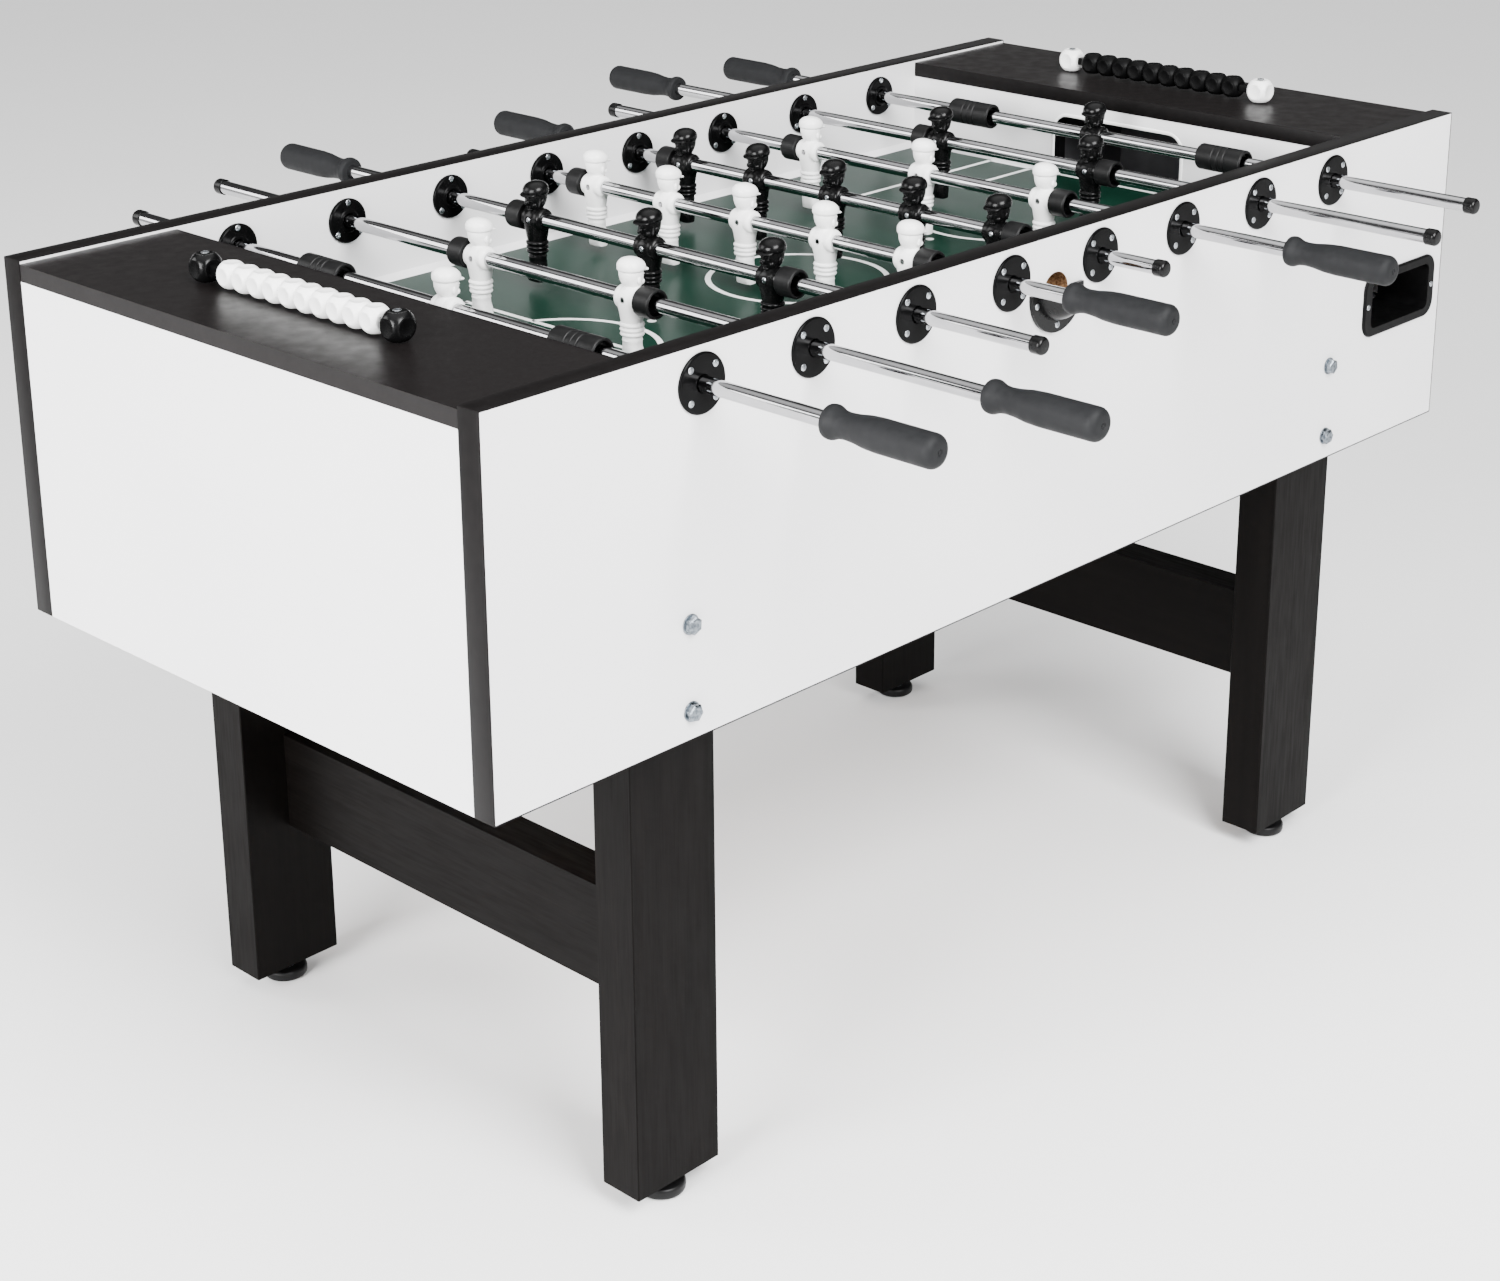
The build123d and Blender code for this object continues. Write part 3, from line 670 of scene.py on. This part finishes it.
# ---------------------------------------------------------------- rods, grips, bumpers
def rod_side(n):
    """-1 where the grip is at the front and 1 where it is at the rear, then the rod's ends along Y."""
    low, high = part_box(f"grip_{n}")
    men_low, men_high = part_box(f"men_{n}")
    middle = (men_low.y + men_high.y) / 2
    return (-1 if middle - low.y > high.y - middle else 1), low.y, high.y


def grip_outline():
    """Waisted rubber grip with a ball end and a dimple, from its mouth to its end at 126 mm."""
    waist = [(8.1, 0), (15.6, 0), (16.6, 6.5), (13.4, 14), (12.5, 22), (13.2, 33), (15.2, 46),
             (16, 60), (16.1, 116)]
    ball_r, ball_foot = 8, 118
    angles = [math.radians(degrees) for degrees in range(0, 91, 15)]
    ball = [(16.1 - ball_r * (1 - math.cos(a)), ball_foot + ball_r * math.sin(a)) for a in angles]
    dimple = [(3.6, 126.1), (3.0, 125.2), (1.6, 125.2), (1.2, 126), (0, 126)]
    return scaled(rounded(2.5, waist, 8) + ball + dimple)


def rod_looks():
    """Chromed rods, each with a rubber grip at one end and a cap at the other."""
    grip, grip_length = grip_outline(), 126 * MM
    cap = scaled(rounded(1.5, [(8.1, 0), (9.2, 0.2), (9.3, 11), (7.4, 13.6), (0, 14)]))
    cap_length = 14 * MM
    for n in rod_numbers:
        finish_node(f"rod_{n}", CHROME)
        side, low_y, high_y = rod_side(n)
        grip_end, cap_end = (low_y, high_y) if side < 0 else (high_y, low_y)
        builder = bmesh.new()
        lathe(builder, grip, along_y(rod_x[n], grip_end - side * grip_length, rod_z, side), 64)
        piece = new_piece(f"rubber_grip_{n}", builder, GRIP, f"rod_set_{n}", 40)
        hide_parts(f"grip_{n}")
        builder = bmesh.new()
        lathe(builder, cap, along_y(rod_x[n], cap_end + side * cap_length, rod_z, -side), 40)
        new_piece(f"end_cap_{n}", builder, BLACK, f"rod_set_{n}", 40)


def bumper_looks():
    """Short rubber bumpers on six rods and long grooved collars on the goalkeepers' rods."""
    short = [(8.1, 0), (15.2, 0), (15.8, 1.2), (15.8, 20.6), (14.9, 22), (12.6, 22), (12.4, 13.2), (8.1, 13)]
    half = [(8.1, 7), (12.2, 7), (12.6, 0), (14.8, 0), (15.8, 1.2), (15.8, 22.2), (14.7, 22.8),
            (14.7, 24.2), (15.8, 24.8), (15.8, 31.2), (14.6, 32)]
    short_length, collar_length = 22, 64
    collar = half + [(radius, collar_length - height) for radius, height in reversed(half[:-1])]
    short, collar = scaled(rounded(0.9, short, 5)), scaled(rounded(0.7, collar, 4))
    for n in rod_numbers:
        low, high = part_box(f"bumpers_{n}")
        outline, length = (collar, collar_length) if n in (1, 8) else (short, short_length)
        builder = bmesh.new()
        for end_y, outward in ((low.y, -1), (high.y, 1)):
            lathe(builder, outline, along_y(rod_x[n], end_y - outward * length * MM, rod_z, outward), 56)
        piece = new_piece(f"rubber_bumpers_{n}", builder, BUMPER, f"rod_set_{n}", 35)
        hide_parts(f"bumpers_{n}")


# ---------------------------------------------------------------- figures
def figure_body():
    """Foot, legs, three rings and chest of a figure, from the sole up to the neck."""
    return [
        (-72, 6.5, 10.6, 1.5, 3.4), (-71, 7.6, 11, 1.5, 3.4), (-62, 8.6, 11, 1.2, 3.4),
        (-55, 9.6, 10.6, 0.6, 2.8), (-50, 9.4, 10.0, 0, 2.4), (-45, 9.6, 10.0, 0, 2.2),
        (-43.6, 10.4, 10.7, 0, 2.1), (-42.2, 9.8, 10.2, 0, 2.1), (-39.5, 9.4, 10.2, 0, 2.1),
        (-38.4, 11.4, 12.3, 0, 2.1), (-37, 12.0, 12.9, 0, 2.1), (-35.6, 11.4, 12.3, 0, 2.1),
        (-34.6, 9.8, 10.7, 0, 2.1),
        (-33.6, 11.6, 12.5, 0, 2.1), (-32.2, 12.2, 13.1, 0, 2.1), (-30.8, 11.6, 12.5, 0, 2.1),
        (-29.8, 10.0, 10.9, 0, 2.1),
        (-28.8, 11.8, 12.7, 0, 2.1), (-27.2, 12.5, 13.4, 0, 2.1), (-25.6, 11.9, 12.8, 0, 2.1),
        (-24.6, 10.5, 11.4, 0, 2.1),
        (-20, 11.3, 12.3, 0, 2.2), (-14, 12.0, 13.0, 0, 2.3), (-8, 13.0, 14.0, 0, 2.6),
        (-3, 13.6, 14.6, 0, 2.8), (1, 13.7, 14.8, 0, 2.8), (5, 13.0, 14.4, 0, 2.6),
        (8, 11.4, 12.9, 0, 2.4), (10.5, 9.2, 10.2, 0, 2.2), (12, 8.2, 8.6, 0.2, 2.0),
        (15, 8.0, 8.2, 0.6, 2.0),
    ]


def figure_mesh(name):
    """One figure facing +X, its rod along Y through the origin. Slot 0 plastic, 1 screw, 2 a black disc at
    the bottom of the back recess, painted shade of the hole.
    """
    torso = bmesh.new()
    loft(torso, figure_body(), 48)
    hub = [(0, -15.6), (10.2, -15.6), (12.6, -13.4), (13.1, -10)]
    hub += [(radius, -height) for radius, height in reversed(hub)]
    lathe(torso, scaled(rounded(1.6, hub)), along_y(0, 0, 0), 48)
    cutter = bmesh.new()
    across = Matrix.Rotation(math.pi / 2, 4, "Y")
    lathe(cutter, scaled([(0, 11.6), (3.9, 11.6), (3.9, 16), (0, 16)]), across, 24)
    lathe(cutter, scaled([(0, -16), (3.4, -16), (3.4, -9.5), (0, -9.5)]), across, 24)
    whole = bmesh.new()
    whole.from_mesh(carved(torso, cutter))
    head(whole)
    screw = [(0, 11.5), (3.5, 11.5), (3.5, 12.6), (2.8, 13.4), (1.5, 13.7), (1.3, 12.4), (0, 12.4)]
    # The black disc at the bottom of the back recess is painted shade of the hole.
    recess = [(0, -9.6), (3.3, -9.6), (3.3, -10.2), (2.2, -10.4), (1.9, -9.8), (0, -9.8)]
    lathe(whole, scaled(screw), across, 24, material_index=1)
    lathe(whole, scaled(recess), across, 24, material_index=2)
    return as_mesh(name, whole)


def head(target):
    """Head with a plain doll's face, ears and a round cap with a short peak."""
    face = [(9.5, 5, 6, 1.5, 2), (11, 7.2, 7.4, 1.9, 2), (13, 9.0, 8.8, 1.7, 2), (16, 10.9, 10.3, 1.1, 2),
            (20, 12.2, 11.6, 0.4, 2), (24, 12.5, 12.2, 0, 2.1), (28, 12.5, 12.4, -0.2, 2.1),
            (31, 12.0, 12.0, 0, 2)]
    loft(target, face, 40)
    blob(target, (12.4, 0, 20.0), (2.6, 1.7, 3.2))  # nose
    blob(target, (11.6, 0, 15.6), (1.5, 3.4, 0.9))  # upper lip
    blob(target, (10.9, 0, 14.0), (1.6, 2.8, 0.9))  # lower lip
    blob(target, (9.6, 0, 11.8), (2.4, 3.4, 1.9))  # chin
    for side in (-1, 1):
        blob(target, (11.4, side * 4.4, 24.6), (1.2, 2.9, 0.7))  # brow
        blob(target, (11.3, side * 4.3, 22.2), (1.1, 1.7, 0.9))  # eye
        blob(target, (0.2, side * 11.9, 20.6), (2.5, 1.5, 4.0))  # ear
        blob(target, (8.2, side * 6.7, 17.4), (3.0, 3.0, 3.2))  # cheek
    crown = [(29.0, 12.5, 12.7, 0.2, 2), (29.6, 13.8, 13.8, 0.4, 2.05), (30.8, 14.5, 14.4, 0.5, 2.1),
             (32.2, 14.6, 14.5, 0.5, 2.1), (34.6, 14.3, 14.3, 0.2, 2.15), (37.0, 13.4, 13.6, -0.2, 2.15),
             (39.3, 11.7, 12.0, -0.6, 2.1), (41.2, 9.0, 9.5, -1.0, 2.1), (42.5, 5.6, 5.9, -1.2, 2),
             (43.1, 1.2, 1.4, -1.2, 2)]
    loft(target, crown, 44)
    peak = bmesh.new()
    loft(peak, [(-1.2, 8.6, 9.8, 0, 2.2), (-0.9, 9.6, 10.8, 0, 2.2), (0, 10.2, 11.3, 0, 2.2),
                (0.9, 9.6, 10.8, 0, 2.2), (1.2, 8.4, 9.6, 0, 2.2)], 36)
    tilt = Matrix.Translation((9.6 * MM, 0, 30.0 * MM)) @ Matrix.Rotation(math.radians(11), 4, "Y")
    copies(target, as_mesh("peak", peak), [tilt])


def figure_looks():
    """One, two, three or five figures on each rod, the two teams facing each other."""
    teams = {"white": (figure_mesh("figure_white"), WHITE_PLASTIC),
             "black": (figure_mesh("figure_black"), BLACK)}
    counts = {1: 1, 2: 2, 3: 3, 4: 5, 5: 5, 6: 3, 7: 2, 8: 1}
    half_figure = 15.9 * MM
    for n, count in counts.items():
        low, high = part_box(f"men_{n}")
        team = "white" if rod_side(n)[0] < 0 else "black"
        mesh, plastic = teams[team]
        first, last = low.y + half_figure, high.y - half_figure
        if count == 1:
            first = last = (low.y + high.y) / 2
        step = (last - first) / max(count - 1, 1)
        facing = Matrix.Identity(4) if team == "white" else Matrix.Rotation(math.pi, 4, "Z")
        places = [Matrix.Translation((rod_x[n], first + step * k, rod_z)) @ facing for k in range(count)]
        builder = bmesh.new()
        copies(builder, mesh, places)
        # The third slot, black plastic, is the painted shade at the bottom of each back recess.
        joined, looks = as_mesh(f"figures_{n}", builder), [plastic, ZINC, BLACK]
        piece = place_piece(f"figures_{n}", joined, looks, f"rod_set_{n}", 50)
        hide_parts(f"men_{n}")


# ---------------------------------------------------------------- score counters
def dished_die(half, half_along, sphere_r, dish, steps=14):
    """A ball cut flat on six sides and dished on each, a little thinner along Y. In millimetres."""
    builder = bmesh.new()
    bmesh.ops.create_cube(builder, size=2)
    bmesh.ops.subdivide_edges(builder, edges=builder.edges[:], cuts=steps, use_grid_fill=True)
    halves = Vector((half, half_along, half))
    for vertex in builder.verts:
        ray = Vector([math.tan(c * math.pi / 4) for c in vertex.co]).normalized()
        reach, axis = min((halves[k] / max(abs(ray[k]), 1e-6), k) for k in range(3))
        if reach < sphere_r:
            point = ray * reach
            flat_r = math.sqrt(max(sphere_r ** 2 - halves[axis] ** 2, 1e-9))
            across = math.sqrt(max(point.length_squared - point[axis] ** 2, 0))
            depth = dish * max(0, 1 - (across / (flat_r * 0.93)) ** 2)
            point[axis] -= math.copysign(depth, point[axis])
        else:
            point = ray * sphere_r
        vertex.co = point * MM
    return as_mesh("die", builder)


def counter_looks():
    """Two score rows: ten beads on a square rail between two posts."""
    posts_low, posts_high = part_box("score_frames")
    z = (posts_low.z + posts_high.z) / 2
    bead = dished_die(half=12.7, half_along=12.3, sphere_r=15.4, dish=1.2)
    post = dished_die(half=13.9, half_along=13.7, sphere_r=17.0, dish=1.2)
    bead_count, pitch, rail_half, rail_inset = 10, 24.6 * MM, 4.5 * MM, 16 * MM
    rows = (("near", "plastic_white", WHITE_PLASTIC, BLACK),
            ("far", "plastic_black", SATIN_BLACK, WHITE_PLASTIC))
    for name, slot, bead_plastic, post_plastic in rows:
        low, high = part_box(f"score_beads_{name}")
        x = (low.x + high.x) / 2
        first = (low.y + high.y) / 2 - pitch * (bead_count - 1) / 2
        builder = bmesh.new()
        copies(builder, bead, [Matrix.Translation((x, first + pitch * k, z)) for k in range(bead_count)])
        beads = new_piece(f"beads_{name}", builder, bead_plastic, f"score_row_{name}", 30)
        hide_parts(f"score_beads_{name}")
        builder = bmesh.new()
        for y in (posts_low.y + post_half, posts_high.y - post_half):
            copies(builder, post, [Matrix.Translation((x, y, z))])
        posts = new_piece(f"posts_{name}", builder, post_plastic, "cabinet", 30)
        builder = bmesh.new()
        bevelled_box(builder, (x - rail_half, posts_low.y + rail_inset, z - rail_half),
                     (x + rail_half, posts_high.y - rail_inset, z + rail_half), 0.8 * MM, 3)
        new_piece(f"rail_{name}", builder, SATIN_BLACK, "cabinet")
        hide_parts("score_frames")


# ---------------------------------------------------------------- ball cups
def cup_looks():
    """The throw-in cups and the return cup keep their CAD shapes."""
    finish_node("throw_in_cups", BLACK)
    finish_node("return_cup", SATIN_BLACK)


# ---------------------------------------------------------------- feet
def foot_looks():
    """Rubber pads, each with a washer, a round stem and a hexagon nut."""
    low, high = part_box("levelling_feet")
    pad_r = 25 * MM
    pad = [(0, 0), (19.5, 0), (24.2, 2.2), (25, 5), (25, 10.5), (23.4, 13.2), (14, 14), (0, 14)]
    pad = rounded(1.8, pad)
    washer = rounded(0.4, [(5, 14), (12.5, 14), (12.5, 15.6), (5, 15.6)])
    stem = [(0, 15.6), (5, 15.6), (5, 24.4), (0, 24.4)]
    nut = [(0, 16), (9.2, 16), (9.2, 21), (0, 21)]
    pads, metal = bmesh.new(), bmesh.new()
    for x in (low.x + pad_r, high.x - pad_r):
        for y in (low.y + pad_r, high.y - pad_r):
            place = Matrix.Translation((x, y, 0))
            lathe(pads, scaled(pad), place, 56)
            for outline, steps in ((washer, 40), (stem, 24), (nut, 6)):
                lathe(metal, scaled(outline), place, steps)
    piece = new_piece("foot_pads", pads, BUMPER, "cabinet")
    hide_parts("levelling_feet")
    new_piece("foot_stems", metal, ZINC, "cabinet", 20)


# ---------------------------------------------------------------- stage
def stage():
    """Plain pale floor, the world and three soft lights."""
    floor_mesh = bpy.data.meshes.new("floor")
    half = 30.0
    corners = [(-half, -half, 0), (half, -half, 0), (half, half, 0), (-half, half, 0)]
    floor_mesh.from_pydata(corners, [], [(0, 1, 2, 3)])
    floor = bpy.data.objects.new("floor", floor_mesh)
    bpy.context.scene.collection.objects.link(floor)
    material = principled("floor_paint", (0.9, 0.9, 0.9), 0.75, specular=0.2)
    vary(material, "Base Color", noise(material, 1.5), (0.895, 0.895, 0.895), (0.905, 0.905, 0.905))
    floor_mesh.materials.append(material)
    bpy.context.scene.world = studio_world()
    area_light("key", place=(-1.0, -3.4, 3.3), target=(0.1, 0, 0.6), size=2.4, power=600)
    area_light("fill", place=(-4.4, -0.4, 1.9), target=(0, 0, 0.6), size=2.4, power=560)
    area_light("back", place=(-3.2, 3.6, 2.6), target=(0, 0, 0.7), size=2.2, power=110)


def studio_world():
    """White overhead and pale at the horizon with a dark belt between, which streaks the chromed rods."""
    world = bpy.data.worlds.new("studio")
    world.use_nodes = True
    nodes, links = world.node_tree.nodes, world.node_tree.links
    direction = nodes.new("ShaderNodeTexCoord")
    split = nodes.new("ShaderNodeSeparateXYZ")
    ramp = nodes.new("ShaderNodeValToRGB")
    stops = ramp.color_ramp.elements
    stops.new(0.2)
    stops.new(0.62)
    for stop, place, value in zip(stops, (0.07, 0.2, 0.62, 0.9), (0.42, 0.035, 0.035, 1.0)):
        stop.position = place
        stop.color = (value, value, value, 1)
    links.new(direction.outputs["Generated"], split.inputs["Vector"])
    links.new(split.outputs["Z"], ramp.inputs["Fac"])
    links.new(ramp.outputs["Color"], nodes["Background"].inputs["Color"])
    nodes["Background"].inputs["Strength"].default_value = 2.3
    return world


def area_light(name, place, target, size, power):
    """A square light that faces a target, its power in watts."""
    light = bpy.data.lights.new(name, "AREA")
    light.size = size
    light.energy = power
    lamp = bpy.data.objects.new(name, light)
    lamp.location = place
    lamp.rotation_euler = (Vector(target) - Vector(place)).to_track_quat("-Z", "Y").to_euler()
    bpy.context.scene.collection.objects.link(lamp)


def camera():
    """Long lens that looks at the near corner, with a small vertical shift."""
    azimuth, elevation, roll = (math.radians(degrees) for degrees in (-46.06, 18.62, -0.384))
    level = math.cos(elevation)
    back = Vector((math.sin(azimuth) * level, -math.cos(azimuth) * level, math.sin(elevation)))
    turn = back.to_track_quat("Z", "Y").to_matrix() @ Matrix.Rotation(roll, 3, "Z")
    lens = bpy.data.cameras.new("camera")
    lens.sensor_width = 36
    lens.lens = 65.952
    lens.shift_y = -0.15
    lens.clip_end = 100
    view = bpy.data.objects.new("camera", lens)
    view.location = (-2.2096, -2.0523, 1.6420)
    view.rotation_euler = turn.to_euler()
    bpy.context.scene.collection.objects.link(view)
    bpy.context.scene.camera = view


cabinet_looks()
field_lines()
goal_linings()
plate_screws()
leg_bolt_looks()
flange_looks()
rod_looks()
bumper_looks()
figure_looks()
counter_looks()
cup_looks()
foot_looks()
stage()
camera()
